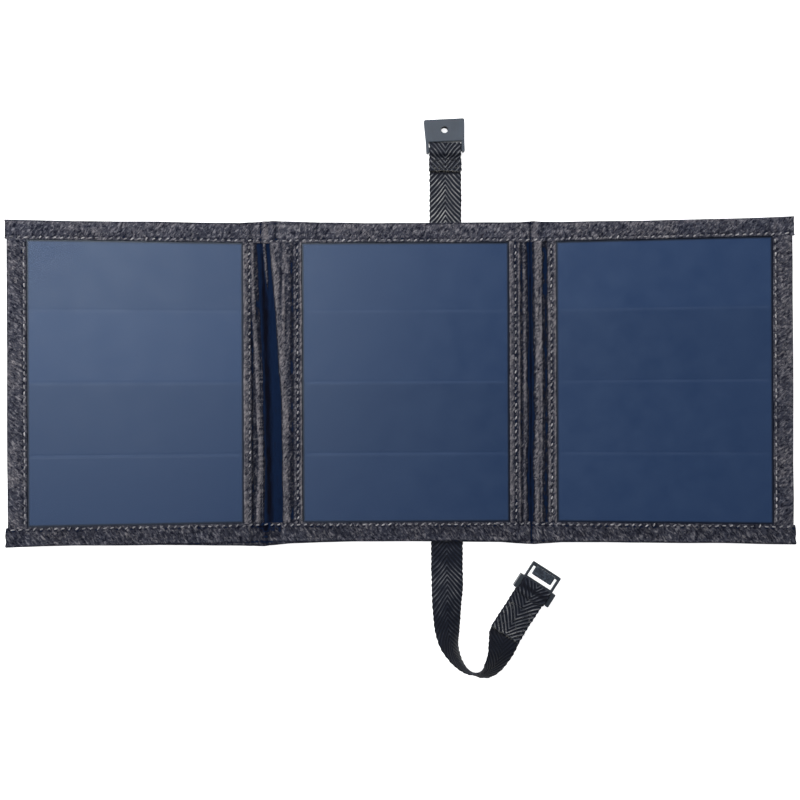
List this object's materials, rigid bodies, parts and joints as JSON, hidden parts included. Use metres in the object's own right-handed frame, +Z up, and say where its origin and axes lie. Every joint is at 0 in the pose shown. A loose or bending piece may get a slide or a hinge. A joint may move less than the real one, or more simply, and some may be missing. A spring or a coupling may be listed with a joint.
{
  "type": "folding solar panel",
  "caption": "Camping solar charger that folds in three: sewn panels with edge tape and cloth gutters, a webbing strap with a flat snap latch, and a USB regulator box on the back.",
  "frame": {"origin": "under the middle of the whole outline, strap included, on the resting face", "axes": "+X along the row of panels, towards the narrow gutter's side; +Y towards the latch socket; +Z up, out of the cells"},
  "size_m": [0.4686, 0.3443, 0.0195],
  "materials": {
    "film": "clear embossed front film",
    "cell": "dark blue silicon",
    "tab": "tinned copper",
    "encapsulant": "clear resin on a dark backing",
    "board": "glass-fibre board",
    "back_cloth": "coated plain-weave polyester",
    "gutter_cloth": "matt plain-weave cloth, sewn",
    "tape": "woven edge tape",
    "webbing": "herringbone polypropylene webbing",
    "latch": "moulded nylon",
    "box": "fine-textured moulding",
    "foam": "double-sided foam pad",
    "steel": "zinc-plated",
    "pcb": "solder mask",
    "usb_tongue": "white insulator",
    "component": "black moulded parts",
    "can": "bare can",
    "light_pipe": "clear light pipe"
  },
  "bodies": {
    "middle": {"middle_back_cloth": "back_cloth", "middle_board": "board", "middle_bottom_tape": "tape", "middle_cell_tabs": "tab", "middle_cells": "cell", "middle_encapsulant": "encapsulant", "middle_front_film": "film", "middle_left_gusset": "gutter_cloth", "middle_right_gusset": "gutter_cloth", "middle_top_tape": "tape", "strap_back_run": "webbing"},
    "left_spine": {"left_spine_bottom_tape": "tape", "left_spine_leads": "tab", "left_spine_top_tape": "tape", "left_spine_web": "gutter_cloth"},
    "right_spine": {"right_spine_bottom_tape": "tape", "right_spine_leads": "tab", "right_spine_top_tape": "tape", "right_spine_web": "gutter_cloth"},
    "left_wing": {"left_back_cloth": "back_cloth", "left_board": "board", "left_cell_tabs": "tab", "left_cells": "cell", "left_encapsulant": "encapsulant", "left_end_tape": "tape", "left_front_film": "film", "left_wing_bottom_tape": "tape", "left_wing_gusset": "gutter_cloth", "left_wing_top_tape": "tape", "box_foam_pad": "foam", "box_base": "box", "box_lid": "box", "box_screws": "steel", "box_wires": "tab", "regulator_board": "pcb", "usb_socket_shell": "steel", "usb_socket_tongue": "usb_tongue", "inductor": "component", "capacitors": "can", "chips": "component", "status_light": "light_pipe"},
    "right_wing": {"right_back_cloth": "back_cloth", "right_board": "board", "right_cell_tabs": "tab", "right_cells": "cell", "right_encapsulant": "encapsulant", "right_end_tape": "tape", "right_front_film": "film", "right_wing_bottom_tape": "tape", "right_wing_gusset": "gutter_cloth", "right_wing_top_tape": "tape"},
    "top_rise": {"strap_top_rise": "webbing"},
    "top_end": {"strap_top_end": "webbing"},
    "socket": {"latch_socket": "latch"},
    "bottom_rise": {"strap_bottom_rise": "webbing"},
    "tail": {"strap_bottom_tail": "webbing"},
    "buckle": {"buckle_frame": "latch"},
    "tongue": {"buckle_tongue": "latch"}
  },
  "joints": [
    {"name": "left_inner_fold", "type": "hinge", "parent": "middle", "child": "left_spine", "pos_m": [-0.08, 0.0105, 0.0023], "axis": [0, 1, 0], "range_deg": [-2.5, 87.5]},
    {"name": "left_outer_fold", "type": "hinge", "parent": "left_spine", "child": "left_wing", "pos_m": [-0.09009, 0.0105, 0.00274], "axis": [0, 1, 0], "range_deg": [-2.5, 87.5]},
    {"name": "right_inner_fold", "type": "hinge", "parent": "middle", "child": "right_spine", "pos_m": [0.0779, 0.0105, 0.0023], "axis": [0, -1, 0], "range_deg": [-2.5, 87.5]},
    {"name": "right_outer_fold", "type": "hinge", "parent": "right_spine", "child": "right_wing", "pos_m": [0.08409, 0.0105, 0.00257], "axis": [0, -1, 0], "range_deg": [-2.5, 87.5]},
    {"name": "top_strap_rise", "type": "hinge", "parent": "middle", "child": "top_rise", "pos_m": [0.0285, 0.10905, 0.0006], "axis": [1, 0, 0], "range_deg": [0, 90]},
    {"name": "top_strap_over", "type": "hinge", "parent": "top_rise", "child": "top_end", "pos_m": [0.0285, 0.12685, 0.0006], "axis": [1, 0, 0], "range_deg": [0, 90]},
    {"name": "socket_pivot", "type": "hinge", "parent": "top_end", "child": "socket", "pos_m": [0.0285, 0.1535, 0.0025], "axis": [-0.999, -0.0436, 0], "range_deg": [-10, 10]},
    {"name": "bottom_strap_rise", "type": "hinge", "parent": "middle", "child": "bottom_rise", "pos_m": [0.0285, -0.08805, 0.0006], "axis": [-1, 0, 0], "range_deg": [0, 90]},
    {"name": "bottom_strap_over", "type": "hinge", "parent": "bottom_rise", "child": "tail", "pos_m": [0.0285, -0.10585, 0.0006], "axis": [-1, 0, 0], "range_deg": [0, 63]},
    {"name": "buckle_pivot", "type": "hinge", "parent": "tail", "child": "buckle", "pos_m": [0.08105, -0.11865, 0.0025], "axis": [-0.8387, 0.5446, 0], "range_deg": [-10, 10]},
    {"name": "tongue_flex", "type": "hinge", "parent": "buckle", "child": "tongue", "pos_m": [0.08914, -0.10619, 0.00315], "axis": [-0.8387, 0.5446, 0], "range_deg": [0, 14], "stiffness_Nm_per_rad": 0.12}
  ]
}
